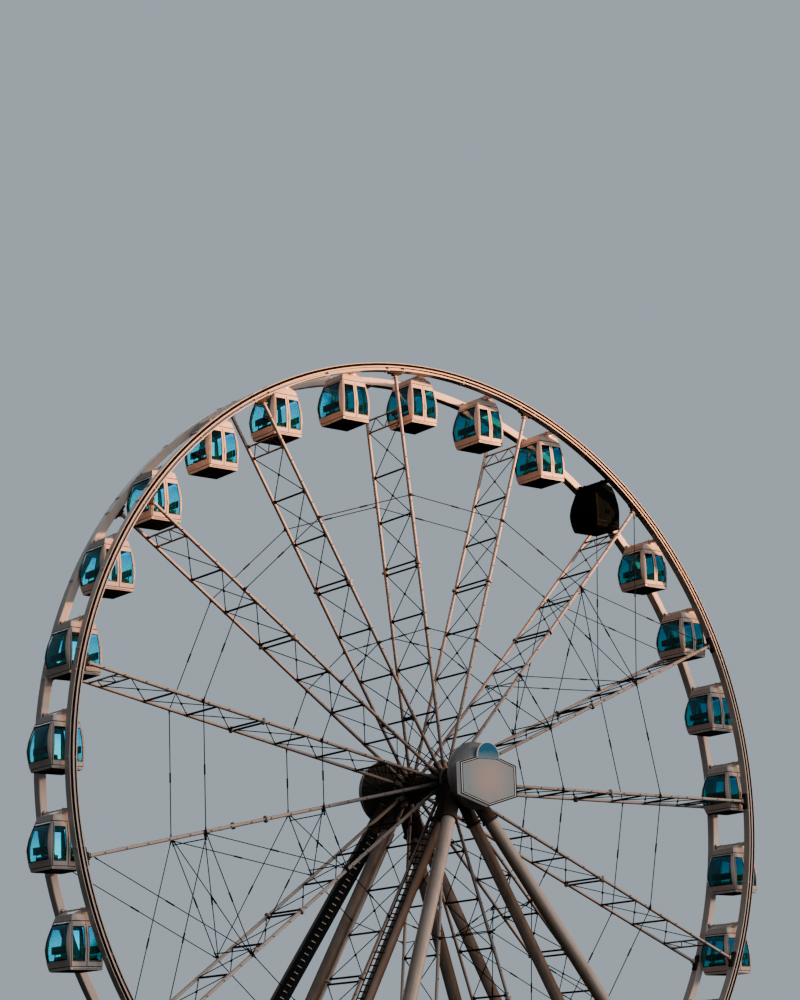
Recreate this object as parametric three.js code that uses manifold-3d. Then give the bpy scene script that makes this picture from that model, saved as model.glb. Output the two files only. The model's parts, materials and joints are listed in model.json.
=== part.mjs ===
// Transportable observation wheel with thirty enclosed cabins that stay level, on two four-legged towers.
// Millimetres. +X runs to the right across the wheel, +Y away from its front, +Z up.
// The origin lies on the ground below the middle of the axle.
import * as THREE from 'three';
import { mergeVertices } from 'three/addons/utils/BufferGeometryUtils.js';
import Module from 'manifold-3d';

const wasm = await Module();
wasm.setup();

// Driving dimensions of the wheel
const HUB_HEIGHT = 21400;
const WHEEL_RADIUS = 18400;
const SEAT_GAP = 0.3;
const CUT_PAST = 1;
const LAP = 10;
const SPOKES = 15;
const CABINS = 30;
const SPOKE_STEP = (2 * Math.PI) / SPOKES;
const CABIN_STEP = (2 * Math.PI) / CABINS;
const FIRST_CABIN = (-0.4 * Math.PI) / 180;
const FIRST_SPOKE = FIRST_CABIN - CABIN_STEP / 2;

// Rims: box-section rings of straight lengths, one in front of the cabins and one behind
const RIM_MIDDLE_Y = 1200;
const RIM_WIDTH = 380;
const RIM_DEPTH = 330;
const RIM_LENGTHS = 60;

// Spokes: two tube chords joined by rungs, like a ladder that runs from hub to rim
const CHORD_Y = 1180;
const CHORD_RADIUS = 75;
const CHORD_SIDES = 6;
const RUNG_RADIUS = 42;
const RUNG_SIDES = 4;
const RUNG_PLACES = [0.891, 0.861, 0.748, 0.637, 0.524, 0.51, 0.397, 0.28, 0.165];

// Hub: axle tube with two flanges that the spokes butt against
const FLANGE_APOTHEM = 700;
const FLANGE_THICKNESS = 260;
const BARREL_RADIUS = 420;
const SHAFT_RADIUS = 260;
const SHAFT_SIDES = 24;
const SHAFT_END_Y = 2700;

// Cable rings: taut stays from spoke to spoke, in front and behind
const CABLE_SIZE = 36;
const OUTER_RING_RADIUS = 0.68 * WHEEL_RADIUS;
const INNER_RING_RADIUS = 0.36 * WHEEL_RADIUS;

// Cabins: half widths along X and Y at heights below the pivot
const CABIN_LEVELS = [
  { z: -200, x: 530, y: 620 },
  { z: -700, x: 645, y: 745 },
  { z: -1400, x: 720, y: 840 },
  { z: -1890, x: 706, y: 820 },
  { z: -2305, x: 685, y: 800 },
];
const CABIN_ROOF = { z: -80, x: 250, y: 560 };
const CABIN_WALL = 45;
const POST_WIDTH = 110;
const PIVOT_RADIUS = 45;
const PIVOT_SIDES = 6;
const HANGER = { x: 80, y0: 470, y1: 540, top: 70 };
const CABIN_FLOOR_THICKNESS = 90;
const CABIN_ROOF_THICKNESS = 60;
const HANGER_LAP = 40;

// Towers: four tube legs on each side, a head block and a bearing housing round the shaft
const HEAD = { x: 700, y0: 1500, y1: 2720, z0: -1050, z1: -430 };
const HOUSING = { radius: 560, y0: 1600, y1: 2705 };
const BORE_PAST = 100;
const LEG_SIDES = 12;
const OUTER_LEG = { top: [590, 2430, -800], foot: [11350, 8080], radius: 290 };
const INNER_LEG = { top: [380, 1780, -800], foot: [11800, 2290], radius: 260 };
const FOOT_PLATE = { size: 1100, thickness: 80 };

// Hub covers: in front a domed drum, given as [radius, y], with a six-sided sign box; behind a shallow disc
const DOME = [[780, -3900], [1020, -3830], [1220, -3690], [1340, -3510], [1400, -3310], [1425, -3100]];
const COVER_SIDES = 32;
const COVER_LAP = 30;
const DISC = { radius: 1430, y0: 2920, y1: 3110 };
const NECK_RADIUS = 420;
const SIGN = { x: 1520, z: 1115, edge: 660, drop: 270, y0: -4075, y1: -3840 };
const BADGE = { radius: 600, z: 695, thickness: 40 };

// Ground frame, boarding deck and drive stands
const BEAM = { width: 400, height: 250 };
const DECK = { x: 4600, y0: -4400, y1: 2490, top: 800, thickness: 120 };
const DECK_POST = 140;
const DRIVE_ANGLE = (22 * Math.PI) / 180;
const DRIVE = { post: 300, above: 200, tie: 200, shaft: 60, shaftSides: 8 };
const TYRE = { radius: 330, width: 220, sides: 16, gap: 6 };

const STEEL_WHITE = new THREE.MeshStandardMaterial({ color: 0xd9d2cb, roughness: 0.45, metalness: 0.25 });
const RIM_WHITE = new THREE.MeshStandardMaterial({ color: 0xe2d8d0, roughness: 0.4, metalness: 0.25 });
const CABIN_WHITE = new THREE.MeshStandardMaterial({ color: 0xe9e0d8, roughness: 0.35, metalness: 0.1 });
const CABIN_BLACK = new THREE.MeshStandardMaterial({ color: 0x17191b, roughness: 0.35, metalness: 0.1 });
const HUB_GREY = new THREE.MeshStandardMaterial({ color: 0x5a5c5f, roughness: 0.5, metalness: 0.5 });
const CABLE_STEEL = new THREE.MeshStandardMaterial({ color: 0x6f6a66, roughness: 0.4, metalness: 0.8 });
const COVER_GREY = new THREE.MeshStandardMaterial({ color: 0xb9bcbf, roughness: 0.5, metalness: 0.1 });
const DECK_GREY = new THREE.MeshStandardMaterial({ color: 0x8b8d8f, roughness: 0.7, metalness: 0.3 });
const BLACK_CABIN_NUMBER = 4;

// A closed three.js geometry as a solid
function solid(geometry) {
  const bare = geometry.clone();
  bare.deleteAttribute('normal');
  bare.deleteAttribute('uv');
  const merged = mergeVertices(bare, 0.001);
  const vertProperties = new Float32Array(merged.attributes.position.array);
  const triVerts = new Uint32Array(merged.index.array);
  return new wasm.Manifold(new wasm.Mesh({ numProp: 3, vertProperties, triVerts }));
}

// A solid as a flat-shaded three.js geometry
function geometryOf(manifold) {
  const mesh = manifold.getMesh();
  const geometry = new THREE.BufferGeometry();
  geometry.setAttribute('position', new THREE.BufferAttribute(mesh.vertProperties, 3));
  geometry.setIndex(new THREE.BufferAttribute(mesh.triVerts, 1));
  return geometry.toNonIndexed();
}

function join(solids) {
  return solids.reduce((whole, piece) => whole.add(piece));
}

function box(x0, x1, y0, y1, z0, z1) {
  const geometry = new THREE.BoxGeometry(x1 - x0, y1 - y0, z1 - z0);
  geometry.translate((x0 + x1) / 2, (y0 + y1) / 2, (z0 + z1) / 2);
  return solid(geometry);
}

// A straight bar of few sides between two points
function bar(from, to, radius, sides) {
  const start = new THREE.Vector3(...from);
  const way = new THREE.Vector3(...to).sub(start);
  const geometry = new THREE.CylinderGeometry(radius, radius, way.length(), sides);
  geometry.translate(0, way.length() / 2, 0);
  geometry.applyQuaternion(new THREE.Quaternion().setFromUnitVectors(
    new THREE.Vector3(0, 1, 0), way.clone().normalize()));
  geometry.translate(start.x, start.y, start.z);
  return solid(geometry);
}

// A round or many-sided prism along Y; turn sets where its first corner lies
function prismY(radius, sides, y0, y1, turn = 0) {
  const geometry = new THREE.CylinderGeometry(radius, radius, y1 - y0, sides);
  geometry.rotateY(turn);
  geometry.translate(0, (y0 + y1) / 2, 0);
  return solid(geometry);
}

// A flat outline in the XZ plane given a thickness along Y
function plateY(points, y0, y1) {
  const shape = new THREE.Shape(points.map(([x, z]) => new THREE.Vector2(x, z)));
  const geometry = new THREE.ExtrudeGeometry(shape, { depth: y1 - y0, bevelEnabled: false });
  geometry.rotateX(Math.PI / 2);
  geometry.translate(0, y1, 0);
  return solid(geometry);
}

// A closed body through four-cornered rings, each ring a list of [x, y, z]
function loft(rings) {
  const count = rings[0].length;
  const position = rings.flat(2);
  const index = [];
  for (let level = 0; level + 1 < rings.length; level += 1) {
    for (let k = 0; k < count; k += 1) {
      const a = level * count + k;
      const b = level * count + ((k + 1) % count);
      index.push(a, b, b + count, a, b + count, a + count);
    }
  }
  const top = (rings.length - 1) * count;
  for (let k = 1; k + 1 < count; k += 1) {
    index.push(0, k + 1, k);
    index.push(top, top + k, top + k + 1);
  }
  const geometry = new THREE.BufferGeometry();
  geometry.setAttribute('position', new THREE.Float32BufferAttribute(position, 3));
  geometry.setIndex(index);
  return solid(geometry);
}

function rectangle(x0, x1, y0, y1, z) {
  return [[x0, y0, z], [x1, y0, z], [x1, y1, z], [x0, y1, z]];
}

function named(name, geometry, material) {
  const mesh = new THREE.Mesh(geometry, material.clone());
  mesh.name = name;
  return mesh;
}

function numbered(name, index) {
  return `${name}_${String(index + 1).padStart(2, '0')}`;
}

// Rim: a ring of straight lengths whose flats face the spokes and the cabin pivots
function rimGeometry() {
  const half = Math.PI / RIM_LENGTHS;
  const outer = WHEEL_RADIUS / Math.cos(half);
  const inner = (WHEEL_RADIUS - RIM_DEPTH) / Math.cos(half);
  const profile = [[inner, -1], [outer, -1], [outer, 1], [inner, 1], [inner, -1]];
  const points = profile.map(([radius, side]) => new THREE.Vector2(radius, (side * RIM_WIDTH) / 2));
  return geometryOf(solid(new THREE.LatheGeometry(points, RIM_LENGTHS, FIRST_CABIN + half)));
}

// Spoke: drawn upwards from the axle, then turned about Y into its place
function spokeGeometry() {
  const z0 = FLANGE_APOTHEM + SEAT_GAP;
  const z1 = WHEEL_RADIUS - RIM_DEPTH - SEAT_GAP;
  const chords = [-CHORD_Y, CHORD_Y].map((y) => bar([0, y, z0], [0, y, z1], CHORD_RADIUS, CHORD_SIDES));
  const rungs = RUNG_PLACES.map((place) => {
    const z = place * WHEEL_RADIUS;
    return bar([0, -CHORD_Y, z], [0, CHORD_Y, z], RUNG_RADIUS, RUNG_SIDES);
  });
  return geometryOf(join([...chords, ...rungs]));
}

function hubGeometry() {
  const flangeRadius = FLANGE_APOTHEM / Math.cos(SPOKE_STEP / 2);
  const turn = FIRST_SPOKE + SPOKE_STEP / 2;
  const flanges = [-CHORD_Y, CHORD_Y].map((y) => prismY(
    flangeRadius, SPOKES, y - FLANGE_THICKNESS / 2, y + FLANGE_THICKNESS / 2, turn));
  const barrel = prismY(BARREL_RADIUS, SHAFT_SIDES, -CHORD_Y, CHORD_Y);
  const shaft = prismY(SHAFT_RADIUS, SHAFT_SIDES, -SHAFT_END_Y, SHAFT_END_Y);
  return geometryOf(join([...flanges, barrel, shaft]));
}

// One polygon of cable, its corners resting on the outer side of each chord
function cableRingGeometry(ringRadius) {
  const half = CABLE_SIZE / 2;
  const corners = [[-half, -half], [half, -half], [half, half], [-half, half], [-half, -half]];
  const points = corners.map(([radial, along]) => new THREE.Vector2(ringRadius + radial, along));
  return geometryOf(solid(new THREE.LatheGeometry(points, SPOKES, FIRST_SPOKE)));
}

// Cabin: floor tray, roof cap, four corner posts, two hangers and the pivot shaft
function cabinGeometry() {
  const [eave, head, belly, sill, base] = CABIN_LEVELS;
  const ring = (level, inset = 0) => rectangle(
    -level.x + inset, level.x - inset, -level.y + inset, level.y - inset, level.z);
  const tray = loft([ring(base), ring(sill)]).subtract(loft([
    ring({ ...base, z: base.z + CABIN_FLOOR_THICKNESS }, CABIN_WALL),
    ring({ ...sill, z: sill.z + CUT_PAST }, CABIN_WALL)]));
  const cap = loft([ring(head), ring(eave), ring(CABIN_ROOF)]).subtract(loft([
    ring({ ...head, z: head.z - CUT_PAST }, CABIN_WALL),
    ring({ ...eave, z: eave.z - CABIN_ROOF_THICKNESS }, CABIN_WALL)]));
  const levels = [sill, belly, head];
  const corner = (sx, sy) => loft(levels.map((level) => rectangle(
    Math.min(sx * level.x, sx * (level.x - POST_WIDTH)), Math.max(sx * level.x, sx * (level.x - POST_WIDTH)),
    Math.min(sy * level.y, sy * (level.y - POST_WIDTH)), Math.max(sy * level.y, sy * (level.y - POST_WIDTH)),
    level.z)));
  const pivotEnd = RIM_MIDDLE_Y - RIM_WIDTH / 2 - SEAT_GAP;
  const hangers = [-1, 1].map((sy) => box(
    -HANGER.x, HANGER.x, Math.min(sy * HANGER.y0, sy * HANGER.y1), Math.max(sy * HANGER.y0, sy * HANGER.y1),
    CABIN_ROOF.z - HANGER_LAP, HANGER.top));
  return geometryOf(join([
    tray, cap,
    corner(-1, -1), corner(1, -1), corner(-1, 1), corner(1, 1),
    ...hangers,
    bar([0, -pivotEnd, 0], [0, pivotEnd, 0], PIVOT_RADIUS, PIVOT_SIDES),
  ]));
}

// Tower on one side of the wheel; side is -1 in front, 1 behind
function towerGeometry(side) {
  const footTop = -HUB_HEIGHT + BEAM.height + SEAT_GAP + FOOT_PLATE.thickness;
  const half = FOOT_PLATE.size / 2;
  const legs = [-1, 1].flatMap((sx) => [OUTER_LEG, INNER_LEG].flatMap((leg) => {
    const top = [sx * leg.top[0], side * leg.top[1], leg.top[2]];
    const foot = [sx * leg.foot[0], side * leg.foot[1], footTop];
    const beyond = footTop - 2 * leg.radius;
    const tube = bar(top, [foot[0], foot[1], beyond], leg.radius, LEG_SIDES);
    const below = box(foot[0] - 2 * half, foot[0] + 2 * half, foot[1] - 2 * half, foot[1] + 2 * half,
      beyond - 2 * leg.radius, footTop - FOOT_PLATE.thickness / 2);
    const plate = box(foot[0] - half, foot[0] + half, foot[1] - half, foot[1] + half,
      footTop - FOOT_PLATE.thickness, footTop);
    return [tube.subtract(below), plate];
  }));
  const boreRadius = (SHAFT_RADIUS + SEAT_GAP) / Math.cos(Math.PI / SHAFT_SIDES);
  const between = (near, far) => [Math.min(side * near, side * far), Math.max(side * near, side * far)];
  const head = box(-HEAD.x, HEAD.x, ...between(HEAD.y0, HEAD.y1), HEAD.z0, HEAD.z1);
  const housing = prismY(HOUSING.radius, SHAFT_SIDES, ...between(HOUSING.y0, HOUSING.y1));
  const bore = prismY(boreRadius, SHAFT_SIDES, ...between(HEAD.y0 - BORE_PAST, HEAD.y1 + BORE_PAST),
    Math.PI / SHAFT_SIDES);
  return geometryOf(join([head, housing, ...legs]).subtract(bore));
}

// Front hub cover: neck, dome, the sign box hung a little below the axle, and the round badge at its top
function frontCoverGeometry() {
  const circle = ([radius, y]) => Array.from({ length: COVER_SIDES }, (_, k) => {
    const angle = (2 * Math.PI * k) / COVER_SIDES;
    return [radius * Math.sin(angle), y, radius * Math.cos(angle)];
  });
  const [, backY] = DOME[DOME.length - 1];
  const neck = prismY(NECK_RADIUS, SHAFT_SIDES, backY - LAP, -HOUSING.y1 - SEAT_GAP);
  const sign = plateY([[-SIGN.x, -SIGN.edge], [0, -SIGN.z], [SIGN.x, -SIGN.edge],
    [SIGN.x, SIGN.edge], [0, SIGN.z], [-SIGN.x, SIGN.edge]], SIGN.y0, SIGN.y1);
  const badge = prismY(BADGE.radius, COVER_SIDES, SIGN.y0 - BADGE.thickness, SIGN.y0 + COVER_LAP);
  return geometryOf(join([neck, loft(DOME.map(circle)),
    sign.translate([0, 0, -SIGN.drop]), badge.translate([0, 0, BADGE.z])]));
}

function backCoverGeometry() {
  const neck = prismY(NECK_RADIUS, SHAFT_SIDES, HOUSING.y1 + SEAT_GAP, DISC.y0 + LAP);
  const disc = prismY(DISC.radius, COVER_SIDES, DISC.y0, DISC.y1);
  return geometryOf(join([neck, disc]));
}

// Ground beams that tie the eight feet together
function baseGeometry() {
  const half = BEAM.width / 2;
  const footHalf = FOOT_PLATE.size / 2;
  const along = [-1, 1].map((sy) => box(
    -INNER_LEG.foot[0] - footHalf, INNER_LEG.foot[0] + footHalf,
    sy * INNER_LEG.foot[1] - half, sy * INNER_LEG.foot[1] + half, 0, BEAM.height));
  const across = [-1, 1].map((sx) => box(
    sx * OUTER_LEG.foot[0] - half, sx * OUTER_LEG.foot[0] + half,
    -OUTER_LEG.foot[1] - footHalf, OUTER_LEG.foot[1] + footHalf, 0, BEAM.height));
  const pads = [-1, 1].flatMap((sx) => [-1, 1].flatMap((sy) => [OUTER_LEG, INNER_LEG].map((leg) => box(
    sx * leg.foot[0] - footHalf, sx * leg.foot[0] + footHalf,
    sy * leg.foot[1] - footHalf, sy * leg.foot[1] + footHalf, 0, BEAM.height))));
  return geometryOf(join([...along, ...across, ...pads]));
}

function deckGeometry() {
  const slab = box(-DECK.x, DECK.x, DECK.y0, DECK.y1, DECK.top - DECK.thickness, DECK.top);
  const half = DECK_POST / 2;
  const posts = [-1, 0, 1].flatMap((sx) => {
    const x = sx * (DECK.x - half);
    const front = box(x - half, x + half, DECK.y0, DECK.y0 + DECK_POST, 0, DECK.top - LAP);
    const onBeams = [-1, 1].map((sy) => box(
      x - half, x + half, sy * INNER_LEG.foot[1] - half, sy * INNER_LEG.foot[1] + half,
      BEAM.height + SEAT_GAP, DECK.top - LAP));
    return [front, ...onBeams];
  });
  return geometryOf(join([slab, ...posts]));
}

// Drive stand: two posts on the ground beams, each with a tyre beside its rim
function driveGeometry(side) {
  const radius = WHEEL_RADIUS - RIM_DEPTH / 2;
  const x = side * radius * Math.sin(DRIVE_ANGLE);
  const z = HUB_HEIGHT - radius * Math.cos(DRIVE_ANGLE);
  const half = DRIVE.post / 2;
  const tyreY = RIM_MIDDLE_Y + RIM_WIDTH / 2 + TYRE.gap + TYRE.radius;
  const pieces = [-1, 1].flatMap((sy) => {
    const postY = sy * INNER_LEG.foot[1];
    const tyre = new THREE.CylinderGeometry(TYRE.radius, TYRE.radius, TYRE.width, TYRE.sides);
    tyre.rotateX(Math.PI / 2);
    tyre.translate(x, sy * tyreY, z);
    return [
      box(x - half, x + half, postY - half, postY + half, BEAM.height + SEAT_GAP, z + DRIVE.above),
      bar([x, postY, z], [x, sy * tyreY, z], DRIVE.shaft, DRIVE.shaftSides),
      solid(tyre),
    ];
  });
  const tie = box(x - half, x + half, -INNER_LEG.foot[1], INNER_LEG.foot[1],
    BEAM.height + SEAT_GAP, BEAM.height + DRIVE.tie);
  return geometryOf(join([...pieces, tie]));
}

const wheel = new THREE.Group();
wheel.position.z = HUB_HEIGHT;
for (const [name, side] of [['front_rim', -1], ['back_rim', 1]]) {
  const rim = named(name, rimGeometry(), RIM_WHITE);
  rim.position.y = side * RIM_MIDDLE_Y;
  wheel.add(rim);
}
wheel.add(named('hub', hubGeometry(), HUB_GREY));
const spokeShape = spokeGeometry();
for (let k = 0; k < SPOKES; k += 1) {
  const spoke = named(numbered('spoke', k), spokeShape, STEEL_WHITE);
  spoke.rotation.y = FIRST_SPOKE + k * SPOKE_STEP;
  wheel.add(spoke);
}
for (const [name, side] of [['front', -1], ['back', 1]]) {
  for (const [place, radius] of [['outer', OUTER_RING_RADIUS], ['inner', INNER_RING_RADIUS]]) {
    const ring = named(`${name}_${place}_cable_ring`, cableRingGeometry(radius), CABLE_STEEL);
    ring.position.y = side * (CHORD_Y + CHORD_RADIUS + SEAT_GAP + CABLE_SIZE / 2);
    wheel.add(ring);
  }
}
const cabinShape = cabinGeometry();
for (let k = 0; k < CABINS; k += 1) {
  const material = k + 1 === BLACK_CABIN_NUMBER ? CABIN_BLACK : CABIN_WHITE;
  const cabin = named(numbered('cabin', k), cabinShape, material);
  const reach = WHEEL_RADIUS - RIM_DEPTH / 2;
  const angle = FIRST_CABIN + k * CABIN_STEP;
  cabin.position.set(reach * Math.sin(angle), 0, reach * Math.cos(angle));
  wheel.add(cabin);
}

const support = new THREE.Group();
const backTower = named('back_tower', towerGeometry(1), STEEL_WHITE);
const frontTower = named('front_tower', towerGeometry(-1), STEEL_WHITE);
const frontCover = named('front_hub_cover', frontCoverGeometry(), COVER_GREY);
const backCover = named('back_hub_cover', backCoverGeometry(), COVER_GREY);
for (const piece of [backTower, frontTower, frontCover, backCover]) {
  piece.position.z = HUB_HEIGHT;
  support.add(piece);
}
support.add(named('ground_frame', baseGeometry(), STEEL_WHITE));
support.add(named('boarding_deck', deckGeometry(), DECK_GREY));
support.add(named('left_drive_stand', driveGeometry(-1), DECK_GREY));
support.add(named('right_drive_stand', driveGeometry(1), DECK_GREY));

const observationWheel = new THREE.Group();
observationWheel.add(wheel, support);

export default observationWheel;
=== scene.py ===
# Transportable observation wheel with thirty closed cabins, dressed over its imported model.
# Metres. +X runs to the right across the wheel, +Y away from its front, +Z up.
import json
from math import copysign, cos, degrees, pi, radians, sin

import bmesh
import bpy
from mathutils import Matrix, Vector

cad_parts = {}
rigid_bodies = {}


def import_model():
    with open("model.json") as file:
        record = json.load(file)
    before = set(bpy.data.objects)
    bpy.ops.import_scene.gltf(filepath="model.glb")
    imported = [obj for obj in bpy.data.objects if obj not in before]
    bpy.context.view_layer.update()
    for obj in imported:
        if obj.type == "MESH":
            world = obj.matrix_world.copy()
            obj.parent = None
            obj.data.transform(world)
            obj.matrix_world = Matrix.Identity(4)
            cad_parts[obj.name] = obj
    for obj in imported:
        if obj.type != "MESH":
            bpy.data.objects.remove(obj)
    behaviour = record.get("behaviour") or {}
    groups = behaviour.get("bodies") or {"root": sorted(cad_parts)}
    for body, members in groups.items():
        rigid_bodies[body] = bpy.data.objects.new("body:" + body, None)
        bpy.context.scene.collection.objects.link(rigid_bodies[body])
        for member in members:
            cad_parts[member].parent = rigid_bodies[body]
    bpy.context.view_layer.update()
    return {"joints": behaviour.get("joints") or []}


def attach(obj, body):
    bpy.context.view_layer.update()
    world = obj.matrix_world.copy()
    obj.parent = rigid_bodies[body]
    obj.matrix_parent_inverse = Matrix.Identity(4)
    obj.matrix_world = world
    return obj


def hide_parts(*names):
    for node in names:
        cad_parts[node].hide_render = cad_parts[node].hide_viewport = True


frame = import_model()

# Camera: a long lens low down and to the left of the wheel's front, looking up at the hub.
# It leans by less than two degrees, as a camera held in the hand does.
EYE = Vector((-64.07, -80.77, 7.5))
HEADING, RISE, LEAN = radians(-37.973), radians(14.461), radians(-1.86)
ahead = Vector((-sin(HEADING) * cos(RISE), cos(HEADING) * cos(RISE), sin(RISE)))
level_right = Vector((cos(HEADING), sin(HEADING), 0))
level_up = level_right.cross(ahead)
right = level_right * cos(LEAN) + level_up * sin(LEAN)
up = level_up * cos(LEAN) - level_right * sin(LEAN)
camera = bpy.data.objects.new("camera", bpy.data.cameras.new("camera"))
camera.matrix_world = Matrix.Translation(EYE) @ Matrix((right, up, -ahead)).transposed().to_4x4()
camera.data.lens = 86.59
camera.data.sensor_width = 36
camera.data.clip_end = 1000
bpy.context.collection.objects.link(camera)
bpy.context.scene.camera = camera

# Light: a plain studio. A low warm key stands to the right, a soft lamp on the camera's side and one behind.
# A warmer spot takes the upper third, the walls add a little light, and the floor is pale and matt.
SPOT_PLACE = Vector((143, -85, 55))
SPOT_AIM = Vector((0, 0, 75))
FLOOR_SIZE = 1800


def set_to(socket, value):
    """Gives a socket a constant; a colour is opaque."""
    socket.default_value = (*value, 1) if socket.type == "RGBA" else value


class Wire:
    """One output of a shader's nodes; sums and products of wires add Math nodes."""

    def __init__(self, tree, socket=None):
        self.tree = tree
        self.socket = socket

    def node(self, kind, settings=(), inputs=(), output=0):
        made = self.tree.nodes.new("ShaderNode" + kind)
        for name, value in dict(settings).items():
            setattr(made, name, value)
        for name, value in dict(inputs).items():
            if isinstance(value, Wire):
                self.tree.links.new(value.socket, made.inputs[name])
            else:
                set_to(made.inputs[name], value)
        return Wire(self.tree, made.outputs[output])

    def math(self, operation, *values):
        return self.node("Math", {"operation": operation}, enumerate(values))

    def vector(self, operation, first, second, output="Value"):
        return self.node("VectorMath", {"operation": operation}, {0: first, 1: second}, output)

    def axis(self, number):
        return self.node("SeparateXYZ", {}, {0: self}, number)

    def __add__(self, other):
        return self.math("ADD", self, other)

    def __mul__(self, other):
        return self.math("MULTIPLY", self, other)


def between(value, low, high, to_low=0.0, to_high=1.0):
    inputs = {"Value": value, "From Min": low, "From Max": high, "To Min": to_low, "To Max": to_high}
    return value.node("MapRange", {}, inputs)


def blend(share, first, second):
    return share.node("Mix", {"data_type": "RGBA"}, {0: share, 6: first, 7: second}, 2)


def cloud(place, size, detail=4, stretch=(1, 1, 1)):
    """Uneven patches about size metres across."""
    drawn = place.node("Mapping", {}, {"Vector": place, "Scale": [share / size for share in stretch]})
    return place.node("TexNoise", {}, {"Vector": drawn, "Scale": 1, "Detail": detail, "Roughness": 0.6})


def bump(height, strength, depth):
    return height.node("Bump", {}, {"Strength": strength, "Distance": depth, "Height": height})


def finish(name, own=False, **constants):
    """A new material whose shader has these constants, and the place that its patterns read."""
    made = bpy.data.materials.new(name)
    made.use_nodes = True
    for socket, value in constants.items():
        set_to(made.node_tree.nodes["Principled BSDF"].inputs[socket.replace("_", " ")], value)
    if own:
        return made, Wire(made.node_tree).node("Attribute", {"attribute_name": "own_place"}, output="Vector")
    return made, Wire(made.node_tree).node("TexCoord", output="Object")


def feed(made, **wires):
    """Links wires to sockets of a material's shader."""
    for socket, wire in wires.items():
        shader = made.node_tree.nodes["Principled BSDF"]
        made.node_tree.links.new(wire.socket, shader.inputs[socket.replace("_", " ")])


def shine(name, kind, power, colour, from_where):
    """A lamp that shines from a direction."""
    lamp = bpy.data.lights.new(name, kind)
    lamp.energy = power
    lamp.color = colour
    holder = bpy.data.objects.new(name, lamp)
    holder.rotation_euler = Vector(from_where).to_track_quat("Z", "Y").to_euler()
    bpy.context.collection.objects.link(holder)
    return holder


world = bpy.data.worlds.new("studio")
world.use_nodes = True
studio = Wire(world.node_tree)
backdrop = world.node_tree.nodes["Background"]
set_to(backdrop.inputs["Color"], (0.42, 0.5, 0.56))
set_to(backdrop.inputs["Strength"], 0.85)
steep = studio.node("TexCoord", output="Generated").axis(2)
dim = between(steep, -0.3, 0.2, 0.03, 0.17)
walls = studio.node("Background", {}, {"Color": (0.47, 0.5, 0.52), "Strength": dim})
looked_at = studio.node("LightPath", output="Is Camera Ray")
seen = studio.math("MAXIMUM", looked_at, studio.node("LightPath", output="Is Transmission Ray"))
both = studio.node("MixShader", {}, {0: seen, 1: walls, 2: Wire(world.node_tree, backdrop.outputs[0])})
world.node_tree.links.new(both.socket, world.node_tree.nodes["World Output"].inputs["Surface"])
bpy.context.scene.world = world
for name, from_where, colour, power, width in (
    ("key", (0.84, -0.5, 0.2), (1.0, 0.62, 0.44), 2.0, 10),
    ("fill", (0.02, -0.97, 0.25), (1.0, 0.93, 0.9), 0.85, 40),
    ("back", (0.25, 0.92, 0.3), (0.85, 0.93, 1.0), 0.7, 40),
):
    shine(name, "SUN", power, colour, from_where).data.angle = radians(width)
spot = shine("top_spot", "SPOT", 6.2e6, (1.0, 0.38, 0.15), SPOT_PLACE - SPOT_AIM)
spot.location = SPOT_PLACE
spot.data.shadow_soft_size = 6
spot.data.spot_size = radians(31.4)
spot.data.spot_blend = 0.08

floor_finish, place = finish("floor_finish", Roughness=0.9, Emission_Color=(0.78, 0.82, 0.86),
                             Emission_Strength=0.22)
feed(floor_finish, Base_Color=blend(cloud(place, 3), (0.72, 0.73, 0.74), (0.78, 0.79, 0.8)))
bpy.ops.mesh.primitive_plane_add(size=FLOOR_SIZE, location=(0, 0, 0))
floor = bpy.context.object
floor.name = "floor"
floor.visible_diffuse = False
floor.visible_glossy = False
floor.data.materials.append(floor_finish)

# Rims: two rings of rolled box section, one in front of the cabins and one behind, painted off-white.
# The outer face of each holds a black drive belt in a wide groove, a raised band, and an open groove.
AXLE = Vector(next(j["pos_m"] for j in frame["joints"] if j["name"] == "wheel_spin"))
FACES = (("front", -1), ("back", 1))
RIM_SIDES = 180
RIM_MIDDLE = 1.19
RIM_OUTLINE = ((18.07, 1.01), (18.1, 0.995), (18.37, 0.995), (18.4, 1.01), (18.4, 1.39), (18.38, 1.39),
               (18.38, 1.33), (18.262, 1.33), (18.262, 1.395), (18.21, 1.395), (18.21, 1.285),
               (18.11, 1.285), (18.11, 1.385), (18.07, 1.385))
BELTS = ((18.263, 18.379, 1.332, 1.388), (18.205, 18.209, 1.287, 1.39), (18.111, 18.115, 1.287, 1.38))
RUST = (0.16, 0.075, 0.035)


def weathered(name, colour, dirt, gloss=0.38, soil=0.5, streak=(3, 3, 0.6), under=None, near_hub=None,
              **constants):
    """Paint that has stood outdoors: streaks, blotches and rust, and painted shade on one side or near the
    hub.
    """
    made, place = finish(name, **constants)
    blotches = cloud(place, 1.7)
    grime = between(cloud(place, 1, 5, streak) * 0.55 + blotches * 0.45, 0.46, 0.74) * soil
    specks = between(cloud(place, 0.09, 3) * 0.6 + blotches * 0.4, 0.65, 0.73) * soil
    painted = blend(grime, colour, dirt)
    # Painted shade: the paint darkens where a face turns the given way.
    if under:
        way, soot_and_shade, least, most = under
        normal = place.node("NewGeometry", output="Normal")
        facing = place.vector("DOT_PRODUCT", normal, Vector(way).normalized())
        painted = blend(between(facing + blotches * 0.2, least + 0.1, most + 0.1), painted, soot_and_shade)
    # Painted shade: the paint darkens nearer the hub.
    if near_hub:
        flat = place.vector("MULTIPLY", place, (1, 0, 1), "Vector")
        reach = place.vector("DISTANCE", flat, (0, 0, AXLE.z))
        painted = blend(between(reach + blotches * 2, 9, 2, 0, 0.85), painted, near_hub)
    feed(made, Base_Color=blend(specks, painted, RUST), Roughness=grime * 0.3 + specks * 0.2 + gloss,
         Normal=bump(cloud(place, 0.03, 2), 0.1, 0.002))
    return made


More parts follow.
